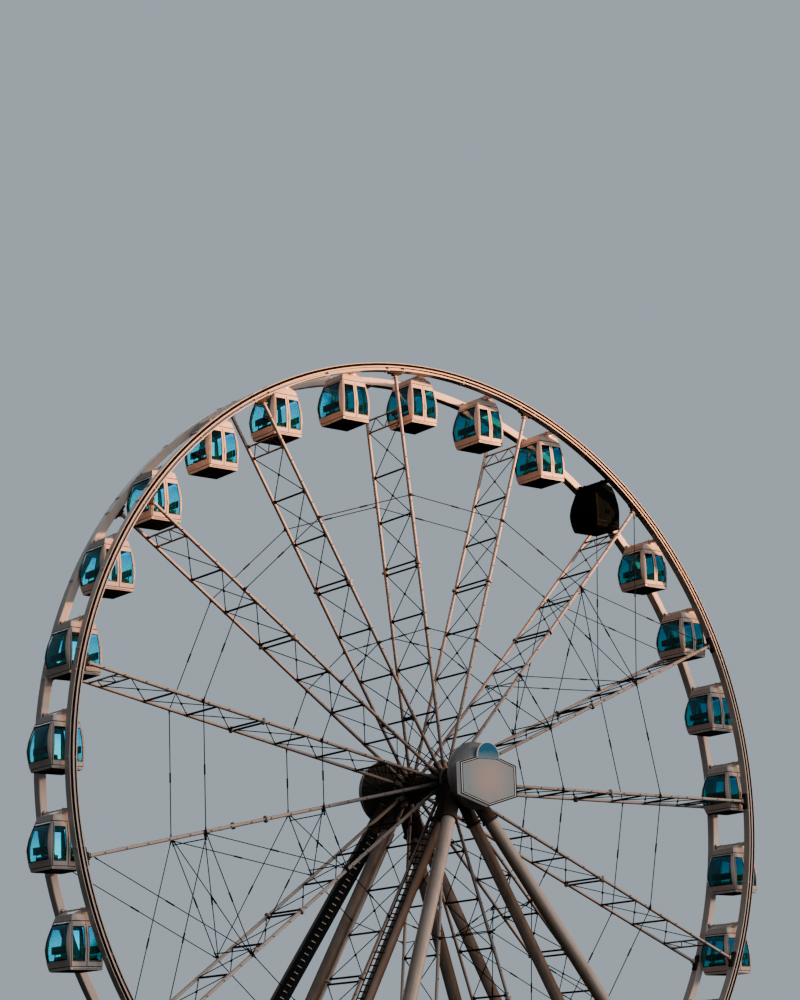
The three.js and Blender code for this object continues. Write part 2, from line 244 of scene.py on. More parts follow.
def matt(name, colour, dirt, gloss, soil, **constants):
    """Dull dark paint or bare steel, weathered."""
    return weathered(name, colour, dirt, gloss, soil, Specular_IOR_Level=0.05, **constants)


def mode(name):
    bpy.ops.object.mode_set(mode=name)


def activate(piece):
    """Leaves one object selected and active."""
    bpy.ops.object.select_all(action="DESELECT")
    bpy.context.view_layer.objects.active = piece
    piece.select_set(True)


def begin(name):
    """Opens a new, empty piece for modelling."""
    piece = bpy.data.objects.new(name, bpy.data.meshes.new(name))
    bpy.context.collection.objects.link(piece)
    activate(piece)
    mode("EDIT")


def whole():
    bpy.ops.mesh.select_all(action="SELECT")


def close(body, slot, paint, smooth=32):
    """Ends the modelling of a piece and gives it its finish and its body; a model has no body, and gets its
    slot instead.
    """
    piece = bpy.context.object
    bpy.ops.mesh.reveal(select=False)
    whole()
    bpy.ops.mesh.normals_make_consistent(inside=False)
    mode("OBJECT")
    bpy.ops.object.shade_smooth_by_angle(angle=radians(smooth))
    piece.data.materials.append(paint)
    if body:
        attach(piece, body)
    else:
        piece["finish_slot"] = slot
    return piece


def inset(width):
    bpy.ops.mesh.inset(thickness=width)


def push(way):
    """Draws the selected faces or edges out along a way."""
    bpy.ops.mesh.extrude_region_move(TRANSFORM_OT_translate={"value": way})


def turned(base, way, outline, sides, capped=True):
    """Draws a round shape out along an outline of (radius, place along the way)."""
    base, way = Vector(base), Vector(way).normalized()
    radius, along = outline[0]
    bpy.ops.mesh.select_mode(type="VERT")
    bpy.ops.mesh.primitive_circle_add(
        vertices=sides, radius=radius, fill_type="NGON" if capped else "NOTHING",
        location=base + way * along, rotation=way.to_track_quat("Z", "Y").to_euler())
    for wide, far in outline[1:]:
        push(way * (far - along))
        bpy.ops.transform.resize(value=[wide / radius] * 3)
        radius, along = wide, far


def hoop(base, way, outline, sides):
    """Draws a ring with a closed section."""
    turned(base, way, (*outline, outline[0]), sides, capped=False)


def block(low, high, edge=0.0, turn=(0, 0, 0)):
    """Adds a box between two corners, its edges rounded off, turned about its middle."""
    low, high = Vector(low), Vector(high)
    bpy.ops.mesh.primitive_cube_add(size=1, location=(low + high) / 2, scale=high - low, rotation=turn)
    if edge:
        bpy.ops.mesh.bevel(offset=edge, segments=2, affect="EDGES")


def slab(at, half, edge=0.0, turn=(0, 0, 0)):
    """Adds a box about a point, by its half sizes."""
    block(at - Vector(half), at + Vector(half), edge, turn)


def rod(start, end, radius, sides=12):
    start, end = Vector(start), Vector(end)
    way = end - start
    bpy.ops.mesh.primitive_cylinder_add(
        vertices=sides, radius=radius, depth=way.length, location=(start + end) / 2,
        rotation=way.to_track_quat("Z", "Y").to_euler())


def weld():
    """Merges the seam of a round shape with its start."""
    whole()
    bpy.ops.mesh.remove_doubles(threshold=0.0004)


def round_about(count, centre, way):
    """Repeats what is selected evenly round an axis."""
    bpy.ops.mesh.spin(steps=count - 1, dupli=True, angle=2 * pi * (count - 1) / count,
                      use_auto_merge=False, center=centre, axis=way)


def round_axle(count):
    """Repeats the whole piece evenly round the axle."""
    whole()
    round_about(count, AXLE, (0, 1, 0))


def bolts(centre, way, ring, count, size=0.022):
    """A ring of hexagon bolt heads."""
    centre, way = Vector(centre), Vector(way).normalized()
    first = centre + way.orthogonal().normalized() * ring
    rod(first, first + way * size, size, 6)
    round_about(count, centre, way)


def on_wheel(angle, radius, along):
    """A point of the wheel, by the angle from its top, the radius and the place along the axle."""
    turned_to = radians(angle)
    return AXLE + Vector((radius * sin(turned_to), along, radius * cos(turned_to)))


# The rim paint darkens to near-black on faces that look down: painted shade on the rims' undersides.
rim_white = weathered("rim_white", (0.74, 0.69, 0.65), (0.34, 0.28, 0.24), 0.36, 0.35,
                      under=((-0.2, 0, -1), (0.022, 0.022, 0.02), 0.4, 0.95))
belt_black, place = finish("belt_black", Roughness=0.95, Specular_IOR_Level=0.02)
feed(belt_black, Base_Color=blend(cloud(place, 0.4), (0.0025, 0.003, 0.0035), (0.009, 0.0088, 0.0085)))
for name, side in FACES:
    begin(name + "_rim_ring")
    hoop(AXLE, (0, side, 0), RIM_OUTLINE, RIM_SIDES)
    weld()
    ring = close("wheel", "rim_paint", rim_white, smooth=25)
    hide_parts(name + "_rim")
    begin(name + "_rim_belt")
    for inner, outer, depth, face in BELTS:
        hoop(AXLE, (0, side, 0), ((inner, depth), (outer, depth), (outer, face), (inner, face)), RIM_SIDES)
    weld()
    close("wheel", "cable_steel", belt_black)

# Rim joints: the lengths of rim are bolted together through end plates on both sides of every spoke and
# halfway between the spokes. A dark shoe under each rim takes the spoke's end, and a round housing on the
# inner face takes each cabin's pivot.
SPOKES, CABINS = 15, 30
FIRST_CABIN = -0.4
FIRST_SPOKE = FIRST_CABIN - 6
BAY = 24
CABIN_RADIUS = 18.235
END_PLATES = (-1.35, 1.35, 12)
PLATE_GAP, BOLT_REACH = 0.05, 0.11
HOUSING = ((0.055, 0), (0.12, 0), (0.12, 0.02), (0.09, 0.028), (0.085, 0.045), (0.055, 0.045))
dark_steel = matt("dark_steel", (0.03, 0.029, 0.027), (0.09, 0.06, 0.042), 0.75, 0.7)
for name, side in FACES:
    begin(name + "_rim_end_plates")
    for off in END_PLATES:
        angle = FIRST_SPOKE + off
        for gap in (-PLATE_GAP, PLATE_GAP):
            slab(on_wheel(angle + gap, CABIN_RADIUS, side * RIM_MIDDLE), (0.006, 0.17, 0.177),
                 turn=(0, radians(angle + gap), 0))
        for radius in (18.045, 18.42):
            for along in (1.05, RIM_MIDDLE, 1.33):
                ends = (on_wheel(angle + gap, radius, side * along) for gap in (-BOLT_REACH, BOLT_REACH))
                rod(*ends, 0.014, 6)
    round_axle(SPOKES)
    close("wheel", "rim_paint", rim_white)
    begin(name + "_rim_shoes")
    turn = (0, radians(FIRST_SPOKE), 0)
    slab(on_wheel(FIRST_SPOKE, 18.01, side * RIM_MIDDLE), (0.36, 0.11, 0.055), 0.012, turn)
    slab(on_wheel(FIRST_SPOKE, 17.93, side * 1.18), (0.16, 0.085, 0.06), 0.01, turn)
    for off in (-0.95, -0.6, 0.6, 0.95):
        at = on_wheel(FIRST_SPOKE + off, 17.955, side * RIM_MIDDLE)
        rod(at, at + (AXLE - at).normalized() * 0.03, 0.02, 6)
    round_axle(SPOKES)
    close("wheel", "hub_paint", dark_steel)
    begin(name + "_pivot_housings")
    at = on_wheel(FIRST_CABIN, CABIN_RADIUS, side * 0.995)
    hoop(at, (0, -side, 0), HOUSING, 16)
    bolts(at - Vector((0, side * 0.02, 0)), (0, -side, 0), 0.105, 6, 0.01)
    weld()
    round_axle(CABINS)
    close("wheel", "hub_paint", dark_steel)

# Spokes: two round tubes, welded to cross tubes like a ladder, with crossed rods in most of the panels.
# Halfway out each is bolted together through round flanges. Small lamps stand along the tubes' outer side.
CHORD = 1.18
CHORD_RADIUS = 0.075
RUNGS = tuple(18.4 * share for share in (0.165, 0.28, 0.397, 0.51, 0.524, 0.637, 0.748, 0.861, 0.891))
PANELS = ((0.95, RUNGS[0]), *zip(RUNGS[:3], RUNGS[1:4]), *zip(RUNGS[4:7], RUNGS[5:8]))
SPLICE = (RUNGS[3] + RUNGS[4]) / 2
SPLICE_OUTLINE = ((0.08, -0.07), (0.15, -0.035), (0.15, -0.004), (0.142, -0.002), (0.142, 0.002),
                  (0.15, 0.004), (0.15, 0.035), (0.08, 0.07))
RING_RADII = (12.512, 6.624)
LAMPS, FIRST_LAMP, LAMP_STEP = 17, 1.4, 0.985
# The spoke paint darkens on faces that look down and near the hub: painted shade.
spoke_white = weathered("spoke_white", (0.66, 0.59, 0.55), (0.34, 0.27, 0.22), 0.4, 0.4, (0.8, 0.8, 0.5),
                        ((-0.45, 0.2, -1), (0.06, 0.052, 0.046), 0.0, 0.75), (0.15, 0.115, 0.095),
                        Specular_IOR_Level=0.2)
# Near-black steel: the stays' own colour; on the spokes' cross tubes and rods it is partly painted shade.
rope_steel_and_shade = matt("rope_steel_and_shade", (0.012, 0.012, 0.012), (0.03, 0.021, 0.015), 0.75, 0.8)


def copied(model, name, matrix, body):
    """A copy of a finished model with its own mesh, set in its place on a body."""
    twin = model.copy()
    twin.data = model.data.copy()
    twin.name = name
    twin.data.transform(matrix)
    bpy.context.collection.objects.link(twin)
    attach(twin, body)
    return twin


begin("spoke_model")
for side in (-1, 1):
    y = side * CHORD
    rod((0, y, 0.7003), (0, y, 18.0697), CHORD_RADIUS, 16)
    for radius in (RUNGS[0], *RUNGS[5:7], *RING_RADII):
        rod((0, y, radius - 0.09), (0, y, radius + 0.09), CHORD_RADIUS + 0.008, 16)
    turned((0, y, SPLICE), (0, 0, 1), SPLICE_OUTLINE, 20)
    for way in (1, -1):
        bolts((0, y, SPLICE + way * 0.035), (0, 0, way), 0.118, 8, 0.018)
    for cheek in (-0.125, 0.125):
        block((-0.085, y + cheek - 0.012, 0.5), (0.085, y + cheek + 0.012, 0.93), 0.004)
        for z in (0.56, 0.64, 0.82, 0.88):
            rod((0, y + cheek, z), (0, y + cheek + copysign(0.035, cheek), z), 0.024, 6)
    block((-0.1, y - 0.11, 17.78), (0.1, y + 0.11, 17.81), 0.004)
    near, far = sorted((y - side * CHORD_RADIUS, y - side * (CHORD_RADIUS + 0.15)))
    for radius in RUNGS:
        block((-0.008, near, radius - 0.08), (0.008, far, radius + 0.08))
for radius in RUNGS[7:]:
    rod((0, -CHORD, radius), (0, CHORD, radius), 0.042)
spoke_model = close(None, "spoke_paint", spoke_white)

# The cross tubes, crossed rods and lamps take the near-black steel, partly as painted shade on these thin
# parts.
begin("spoke_rod_model")
for radius in RUNGS[:7]:
    rod((0, -CHORD, radius), (0, CHORD, radius), 0.044)
for low, high in PANELS:
    for side in (-1, 1):
        x = 0.018 * side
        rod((x, -side * 1.08, low + 0.05), (x, side * 1.08, high - 0.05), 0.021, 8)
        tip = (x, -side * 1.0, low + 0.05 + (high - low) * 0.037)
        rod(tip, (x, -side * 0.86, low + (high - low) * 0.115), 0.028, 8)
    rod((-0.04, 0, (low + high) / 2), (0.04, 0, (low + high) / 2), 0.05, 10)
zigzag = [(0.53 * step, RUNGS[7 + step % 2]) for step in range(-2, 3)]
for (y0, z0), (y1, z1) in zip(zigzag, zigzag[1:]):
    rod((0, y0, z0), (0, y1, z1), 0.022, 8)
for side in (-1, 1):
    y = side * CHORD
    for count in range(LAMPS):
        z = FIRST_LAMP + count * LAMP_STEP
        rod((0, y + side * 0.07, z), (0, y + side * 0.11, z), 0.022, 8)
    for radius in RING_RADII:
        block((-0.06, y + side * 0.07, radius - 0.07), (0.06, y + side * 0.092, radius + 0.07))
rod_model = close(None, "cable_steel", rope_steel_and_shade)

for index in range(SPOKES):
    turn = Matrix.Translation(AXLE) @ Matrix.Rotation(radians(FIRST_SPOKE + BAY * index), 4, "Y")
    number = f"{index + 1:02d}"
    spoke = copied(spoke_model, f"spoke_{number}_tubes", turn, "wheel")
    copied(rod_model, f"spoke_{number}_rods", turn, "wheel")
    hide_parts(f"spoke_{number}")
for model in (spoke_model, rod_model):
    bpy.data.objects.remove(model)

# Stays: taut steel ropes from spoke to spoke, in front and behind, at two radii. Each has a fork at its ends
# and a turnbuckle near its middle. Three bays are also crossed, on both faces and from front to back.
STAY_Y = 1.2733
STAY_RADIUS, BRACE_RADIUS = 0.021, 0.02
BRACED_BAYS = (2, 6, 10)


def stay(start, end, radius):
    """A taut rope between two pins, with its forks and its turnbuckle."""
    way = (end - start).normalized()
    middle = start.lerp(end, 0.47)
    rod(start, end, radius, 8)
    rod(middle - way * 0.2, middle + way * 0.2, radius + 0.016, 8)
    for pin, inwards in ((start, way), (end, -way)):
        thick = radius + 0.013
        turned(pin, inwards, ((thick, 0.02), (thick, 0.12), (thick - 0.01, 0.2)), 8)


for name, side in FACES:
    for place_name, radius in zip(("outer", "inner"), RING_RADII):
        begin(f"{name}_{place_name}_stays")
        at = on_wheel(FIRST_SPOKE, radius, side * STAY_Y)
        stay(at, on_wheel(FIRST_SPOKE + BAY, radius, side * STAY_Y), STAY_RADIUS)
        rod(at - Vector((0, 0.022, 0)), at + Vector((0, 0.022, 0)), 0.032, 10)
        round_axle(SPOKES)
        ring = close("wheel", "cable_steel", rope_steel_and_shade)
        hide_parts(f"{name}_{place_name}_cable_ring")

for number, first in enumerate((FIRST_SPOKE + BAY * bay for bay in BRACED_BAYS), 1):
    begin(f"bay_bracing_{number}")
    second = first + BAY
    for y in (-STAY_Y, STAY_Y):
        off = y + copysign(0.03, y)
        for start, end in ((17.7, RING_RADII[0]), RING_RADII):
            stay(on_wheel(first + 0.3, start, off), on_wheel(second - 0.4, end, off), BRACE_RADIUS)
            stay(on_wheel(second - 0.3, start, off), on_wheel(first + 0.4, end, off), BRACE_RADIUS)
    for radius in RING_RADII:
        near = degrees(0.27 / radius)
        for y in (-1.16, 1.16):
            stay(on_wheel(first + 0.3, radius, y), on_wheel(second - 0.3, radius, -y), BRACE_RADIUS)
        for angle in (first + near, second - near):
            rod(on_wheel(angle, radius, -1.2), on_wheel(angle, radius, 1.2), 0.024, 8)
        for angle, inner in ((first, first + near * 1.25), (second, second - near * 1.25)):
            for y in (-1.21, 1.21):
                rod(on_wheel(angle, radius, y), on_wheel(inner, radius, y), 0.035, 6)
    close("wheel", "cable_steel", rope_steel_and_shade)

# Cabins: a moulded white shell bowed on all four sides, with a low hipped roof under the beam that it hangs
# from, a bubble pane at each end, and a broad pillar beside the glazed doors in front and behind. It is open
# inside; a dark tray closes its underside, and two benches face each other. One of the thirty is black.
CABIN_BOW = ((-0.2, 0.53, 0.62, 0.0), (-0.45, 0.592, 0.692, 0.02), (-0.7, 0.64, 0.748, 0.045),
             (-0.95, 0.67, 0.791, 0.09), (-1.2, 0.69, 0.824, 0.125), (-1.45, 0.702, 0.84, 0.15),
             (-1.7, 0.705, 0.832, 0.135), (-1.94, 0.702, 0.819, 0.1), (-2.17, 0.692, 0.808, 0.05),
             (-2.29, 0.684, 0.799, 0.0))
PANE_BULGE = 0.19
RECESS = 0.03
CUTS = {(0, 0, 1): (-0.34, -0.445, -0.48, -0.535, -0.65, -0.8, -1.0, -1.15, -1.3, -1.45, -1.6, -1.75, -1.94,
                    -2.0, -2.155, -2.185),
        (1, 0, 0): (-0.975, -0.92, -0.895, -0.1, -0.012, 0.036, 0.125, 0.935, 0.955, 0.975),
        (0, 1, 0): (-0.9, -0.8, -0.65, -0.4, -0.13, 0.13, 0.4, 0.65, 0.8, 0.93)}


def half_widths(z):
    """The cabin's half widths and the swell of its back at a height, between the heights that are given."""
    for above, below in zip(CABIN_BOW, CABIN_BOW[1:]):
        if z >= below[0]:
            share = min(max((above[0] - z) / (above[0] - below[0]), 0), 1)
            return [a + (b - a) * share for a, b in zip(above[1:], below[1:])]
    return CABIN_BOW[-1][1:]


def bow(piece):
    """Swells a square prism to the cabin's outline, its end panes most and its back more than its front."""
    for corner in piece.data.vertices:
        x, y, swell = half_widths(corner.co.z)
        height = min(max((-0.48 - corner.co.z) / 1.55, 0), 1)
        behind = max(corner.co.y, 0)
        x += 0.62 * swell * behind ** 2
        y += 0.83 * swell * behind
        if abs(corner.co.x) > 0.965:
            x += PANE_BULGE * sin(pi * height) ** 0.8 * max(0, 1 - corner.co.y ** 2) ** 0.6
        corner.co.x *= x
        corner.co.y *= y


def pick(kind, test):
    """Selects the corners or faces whose middle and normal pass a test."""
    bpy.ops.mesh.select_mode(type=kind)
    bpy.ops.mesh.select_all(action="DESELECT")
    shape = bmesh.from_edit_mesh(bpy.context.object.data)
    for thing in shape.verts if kind == "VERT" else shape.faces:
        corners = [thing] if kind == "VERT" else thing.verts
        middle = sum((corner.co for corner in corners), Vector()) / len(corners)
        if test(middle, thing.normal):
            thing.select_set(True)
    shape.select_flush_mode()
    bmesh.update_edit_mesh(bpy.context.object.data)


def sink(depth):
    """Pushes the selected faces in along their normals, with walls round them."""
    bpy.ops.mesh.extrude_region_shrink_fatten(TRANSFORM_OT_shrink_fatten={"value": -depth})


def part_off():
    """Makes a copy of the selected faces an object of its own."""
    bpy.ops.mesh.duplicate()
    bpy.ops.mesh.separate(type="SELECTED")


def modified(piece, kind, **settings):
    """Puts one modifier on a piece and applies it."""
    activate(piece)
    made = piece.modifiers.new(kind.lower(), kind)
    for name, value in settings.items():
        setattr(made, name, value)
    bpy.ops.object.modifier_apply(modifier=made.name)


def shell_paint(name, colour, dirt, gloss, soil, **constants):
    """Gloss moulding, with dust that gathers under its rails and runs down from them."""
    made, own = finish(name, own=True, **constants)
    blotches = cloud(own.node("TexCoord", output="Object"), 0.9)
    low_down = between(own.axis(2), -1.5, -2.2)
    runs = cloud(own, 1, 5, (14, 14, 1.5))
    grime = between(runs * 0.5 + blotches * 0.5 + low_down * 0.12, 0.48, 0.8) * soil
    feed(made, Base_Color=blend(grime, colour, dirt), Roughness=grime * 0.35 + gloss,
         Normal=bump(cloud(own, 0.25, 2), 0.12, 0.01))
    return made


cabin_white = shell_paint("cabin_white", (0.78, 0.71, 0.67), (0.36, 0.3, 0.26), 0.3, 0.5, Coat_Weight=0.2,
                          Coat_Roughness=0.15)
cabin_black = shell_paint("cabin_black", (0.0035, 0.006, 0.006), (0.009, 0.0095, 0.009), 0.85, 0.4,
                          Specular_IOR_Level=0.0)

begin("shell_model")
bpy.ops.mesh.primitive_cube_add(size=2, location=(0, 0, -1.245), scale=(1, 1, 1.045))
for way, places in CUTS.items():
    for at in places:
        whole()
        bpy.ops.mesh.bisect(plane_co=Vector(way) * at, plane_no=way)
pick("FACE", lambda at, way: way.z > 0.9)
inset(0.03)
push((0, 0, 0.155))
bpy.ops.transform.resize(value=(0.3, 0.97, 1))
pick("FACE", lambda at, way: abs(way.x) > 0.9 and -1.94 < at.z < -0.535 and -0.8 < at.y < 0.93 or (
    abs(way.y) > 0.9 and -2.0 < at.z < -0.65 and (-0.895 < at.x < -0.1 or 0.125 < at.x < 0.935)))
inset(0.015)
sink(RECESS)
part_off()
pick("FACE", lambda at, way: -1.93 < at.z < -0.545 and (
    0.965 < abs(at.x) < 0.975 and abs(way.x) > 0.9 or 0.965 < abs(at.y) < 0.975 and abs(way.y) > 0.9))
bpy.ops.mesh.delete(type="FACE")
pick("FACE", lambda at, way: abs(way.z) < 0.2 and (
    -0.48 < at.z < -0.445 or -2.185 < at.z < -2.155 or abs(way.y) > 0.9 and -2.155 < at.z < -0.48 and (
        -0.012 < at.x < 0.036 or -0.975 < at.x < -0.92 or 0.955 < at.x < 0.975)))
sink(RECESS)
part_off()
pick("FACE", lambda at, way: abs(way.z) < 0.2 and -0.535 < at.z < -0.48 and abs(way.x) > 0.9)
sink(-0.02)
pick("FACE", lambda at, way: way.z < -0.9)
bpy.ops.mesh.delete(type="FACE")
mode("OBJECT")
shell_model = bpy.data.objects["shell_model"]
parted = (o for o in bpy.data.objects if o.name.startswith("shell_model."))
groove_model, glass_model = sorted(parted, key=lambda o: min(corner.co.z for corner in o.data.vertices))
groove_model.name, glass_model.name = "groove_model", "glass_model"
activate(glass_model)
mode("EDIT")
bpy.ops.mesh.select_mode(type="FACE")
whole()
inset(0.035)
bpy.ops.mesh.select_all(action="INVERT")
part_off()
mode("OBJECT")
gasket_model = next(o for o in bpy.context.selected_objects if o is not glass_model)
gasket_model.name = "gasket_model"

moulded_black, own = finish("moulded_black", own=True, Specular_IOR_Level=0.04)
scuffs = cloud(own, 0.3, 5, (1, 1, 3))
feed(moulded_black, Roughness=scuffs * 0.3 + 0.65, Normal=bump(cloud(own, 0.01, 2), 0.3, 0.002),
     Base_Color=blend(between(scuffs, 0.4, 0.75), (0.004, 0.0065, 0.006), (0.02, 0.022, 0.02)))
tinted, own = finish("tinted_glass", own=True, Transmission_Weight=1.0, IOR=1.45, Coat_Weight=0.2,
                     Coat_Roughness=0.02)
haze = cloud(own, 0.6, 3)
deep = between(own.axis(2), -0.8, -1.25)
ends = between(own.math("ABSOLUTE", own.axis(0)), 0.66, 0.7)
tint = blend(deep * 0.8 + haze * 0.3, (0.035, 0.5, 0.74), (0.11, 0.74, 0.78))
feed(tinted, Base_Color=blend(ends * 0.7, tint, (0.02, 0.22, 0.3)), Roughness=haze * 0.06)
for model, thick, inwards, surface, slot in (
    (shell_model, 0.035, -1, cabin_white, "cabin_white"),
    (glass_model, 0.008, -1, tinted, "cabin_glass"),
    (groove_model, 0.016, 1, moulded_black, "cabin_black"),
    (gasket_model, 0.02, 1, moulded_black, "cabin_black"),
):
    bow(model)
    modified(model, "SOLIDIFY", thickness=thick, offset=inwards)
    if model is shell_model:
        modified(model, "BEVEL", width=0.006, segments=1, limit_method="ANGLE")
    bpy.ops.object.shade_smooth_by_angle(angle=radians(30))
    model.data.materials.append(surface)
    model["finish_slot"] = slot
activate(groove_model)
gasket_model.select_set(True)
bpy.ops.object.join()

begin("fitting_model")
block((-0.1, -0.93, -0.13), (0.1, 0.93, 0.035), 0.025)
for side in (-1, 1):
    block((-0.13, side * 0.6 - 0.06, -0.2), (0.13, side * 0.6 + 0.06, 0.055), 0.02)
    turned((0, side * 0.9, 0), (0, side, 0), ((0.1, 0), (0.1, 0.05), (0.07, 0.06)), 20)
    rod((0, side * 0.5, 0), (0, side * 1.0097, 0), 0.045, 16)
    block((-0.52, side * 0.8 - 0.05, -2.245), (0.52, side * 0.8 + 0.04, -2.215), 0.008)
    for x in (-0.06, 0.08):
        rod((x, side * 0.865, -1.4), (x, side * 0.865, -1.62), 0.011, 8)
        for z in (-1.41, -1.61):
            rod((x, side * 0.82, z), (x, side * 0.865, z), 0.009, 6)
fitting_model = close(None, "cabin_white", cabin_white, 40)

begin("tray_model")
bpy.ops.mesh.primitive_cube_add(size=2, location=(0, 0, -2.272), scale=(0.676, 0.791, 0.022))
pick("FACE", lambda at, way: way.z < -0.9)
inset(0.05)
push((0, 0, -0.011))
inset(0.12)
sink(0.02)
whole()
bpy.ops.mesh.bevel(offset=0.005, segments=2, affect="EDGES")
block((-0.5, -0.62, -2.303), (0.5, -0.56, -2.28), 0.008)
block((-0.5, 0.56, -2.303), (0.5, 0.62, -2.28), 0.008)
block((-0.655, -0.765, -2.11), (0.655, 0.765, -2.08), 0.004)
block((-0.55, -0.64, -0.51), (0.55, 0.64, -0.485), 0.008)
for side in (-1, 1):
    block((side * 0.62 - 0.025, -0.72, -1.64), (side * 0.62 + 0.025, 0.74, -1.36), 0.02)
    block((side * 0.46 - 0.17, -0.62, -2.09), (side * 0.46 + 0.15, 0.66, -1.86), 0.02)
    for y in (-0.5, 0, 0.5):
        rod((side * 0.615, y, -2.0), (side * 0.615, y, -1.5), 0.014, 8)
tray_model = close(None, "cabin_black", moulded_black, 40)

seat_leather, own = finish("seat_leather", own=True, Sheen_Weight=0.1)
wear = between(cloud(own, 0.4), 0.4, 0.7)
feed(seat_leather, Base_Color=blend(wear, (0.62, 0.22, 0.05), (0.8, 0.34, 0.1)),
     Roughness=wear * 0.2 + 0.4, Normal=bump(cloud(own, 0.015, 3), 0.4, 0.002))
begin("seat_model")
for side in (-1, 1):
    for y in (-0.42, 0, 0.42):
        block((side * 0.44 - 0.17, y - 0.195, -1.86), (side * 0.44 + 0.13, y + 0.195, -1.74), 0.035)
        block((side * 0.575 - 0.025, y - 0.2, -1.66), (side * 0.575 + 0.025, y + 0.2, -1.37), 0.02)
seat_model = close(None, "cabin_black", seat_leather, 60)

cabin_models = {"shell": shell_model, "glass": glass_model, "fittings": fitting_model, "seals": groove_model,
                "tray": tray_model, "seats": seat_model}
for model in cabin_models.values():
    # The patterns read these coordinates, which stay the model's own when it is copied to its place.
    kept = model.data.attributes.new("own_place", "FLOAT_VECTOR", "POINT")
    for corner in model.data.vertices:
        kept.data[corner.index].vector = corner.co
for index in range(CABINS):
    number = f"{index + 1:02d}"
    shift = Matrix.Translation(on_wheel(FIRST_CABIN + 360 / CABINS * index, CABIN_RADIUS, 0))
    cabin = {part: copied(model, f"cabin_{number}_{part}", shift, "cabin_body_" + number)
             for part, model in cabin_models.items()}
    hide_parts("cabin_" + number)
    if number == "04":
        for part in ("shell", "fittings", "glass"):
            cabin[part].data.materials[0] = cabin_black
for model in cabin_models.values():
    bpy.data.objects.remove(model)

# Hub: a shaft with a heavy round flange near each rim, a barrel between them and stiffening ribs on that.
# It is welded plate, painted dark grey, and every spoke's end is bolted over the flanges' edges.
HALF_HUB = ((0.42, 0.8), (0.44, 0.96), (0.55, 1.05), (0.69, 1.05), (0.71, 1.07), (0.71, 1.29), (0.69, 1.31),
            (0.55, 1.31), (0.36, 1.36), (0.36, 1.55), (0.26, 1.6), (0.26, 2.7))
hub_grey = matt("hub_grey", (0.045, 0.043, 0.042), (0.11, 0.075, 0.055), 0.75, 0.7)


def both_halves(outline):
    """An outline that is the same on both sides, from its half."""
    return *((radius, -along) for radius, along in reversed(outline)), *outline


begin("hub_core")
turned(AXLE, (0, 1, 0), both_halves(HALF_HUB), 48)
for y in (-1.31, 1.31):
    bolts(on_wheel(0, 0, y), (0, y, 0), 0.45, 20, 0.026)
for y in (-0.5, 0, 0.5):
    turned(AXLE, (0, 1, 0), ((0.41, y - 0.03), (0.49, y - 0.03), (0.49, y + 0.03), (0.41, y + 0.03)), 48)
hub_core = close("wheel", "hub_paint", hub_grey)
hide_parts("hub")
begin("hub_ribs")
for y in (-0.93, 0.93):
    slab(on_wheel(0, 0.53, y), (0.012, 0.12, 0.13), 0.003)
round_axle(SPOKES)
close("wheel", "hub_paint", hub_grey)

# Towers: four large tubes on each side run from the ground to a head block that carries the shaft's bearing.
# Each tube is bolted together from lengths, stands on a foot plate with gussets and ends in a dark socket.
# One ladder climbs the front tower; a cable ladder on a flat duct and a pipe climb the back one.
FOOT_TOP, HEAD_HEIGHT = 0.3303, 20.6
LEGS = {"outer": ((0.59, 2.43, HEAD_HEIGHT), (11.35, 8.08, FOOT_TOP), 0.29),
        "inner": ((0.38, 1.78, HEAD_HEIGHT), (11.8, 2.29, FOOT_TOP), 0.26)}
LEG_SPLICES = (0.28, 0.56)
LEG_SPLICE_OUTLINE = ((0.005, -0.16), (0.02, -0.05), (0.1, -0.045), (0.1, -0.004), (0.09, -0.002),
                      (0.09, 0.002), (0.1, 0.004), (0.1, 0.045), (0.02, 0.05), (0.005, 0.16))
SOCKET_OUTLINE = ((0.004, -0.12), (0.022, -0.1), (0.022, 1.13), (0.085, 1.14), (0.085, 1.2), (0.004, 1.21))
BEARING = ((0.266, 1.6), (0.5, 1.6), (0.56, 1.64), (0.56, 2.66), (0.5, 2.705), (0.266, 2.705))
# The tower paint darkens on faces that look left, down and back: painted shade.
tower_white = weathered("tower_white", (0.6, 0.54, 0.5), (0.28, 0.22, 0.18), Specular_IOR_Level=0.2,
                        streak=(3, 3, 0.25), under=((-0.65, 0.3, -0.7), (0.16, 0.12, 0.085), -0.35, 0.65))
# A darker copy of the tower paint for the legs out of the light, darker still on faces that look right and
# down: painted shade.
tower_shaded = matt("tower_shaded", (0.33, 0.28, 0.245), (0.13, 0.1, 0.08), 0.7, 0.7, streak=(3, 3, 0.25),
                    under=((0.85, -0.1, -0.5), (0.1, 0.068, 0.047), -0.2, 0.6))
duct_navy_and_shade = matt("duct_navy_and_shade", (0.01, 0.02, 0.026), (0.035, 0.035, 0.032), 0.8, 0.5)
ladder_steel = matt("ladder_steel", (0.018, 0.02, 0.024), (0.07, 0.05, 0.04), 0.75, 0.5)
socket_brown = matt("socket_brown", (0.062, 0.054, 0.045), (0.1, 0.065, 0.045), 0.75, 0.6)


def cut_off_below(point):
    """Cuts the selection level through a point and keeps what is above."""
    bpy.ops.mesh.bisect(plane_co=point, plane_no=(0, 0, 1), use_fill=True, clear_inner=True)


def leg_line(leg, hand, side):
    """The top and the foot of a leg's middle line, the way up it, and its radius."""
    top, foot, radius = LEGS[leg]
    high, low = (Vector((x * hand, y * side, z)) for x, y, z in (top, foot))
    return high, low, (high - low).normalized(), radius


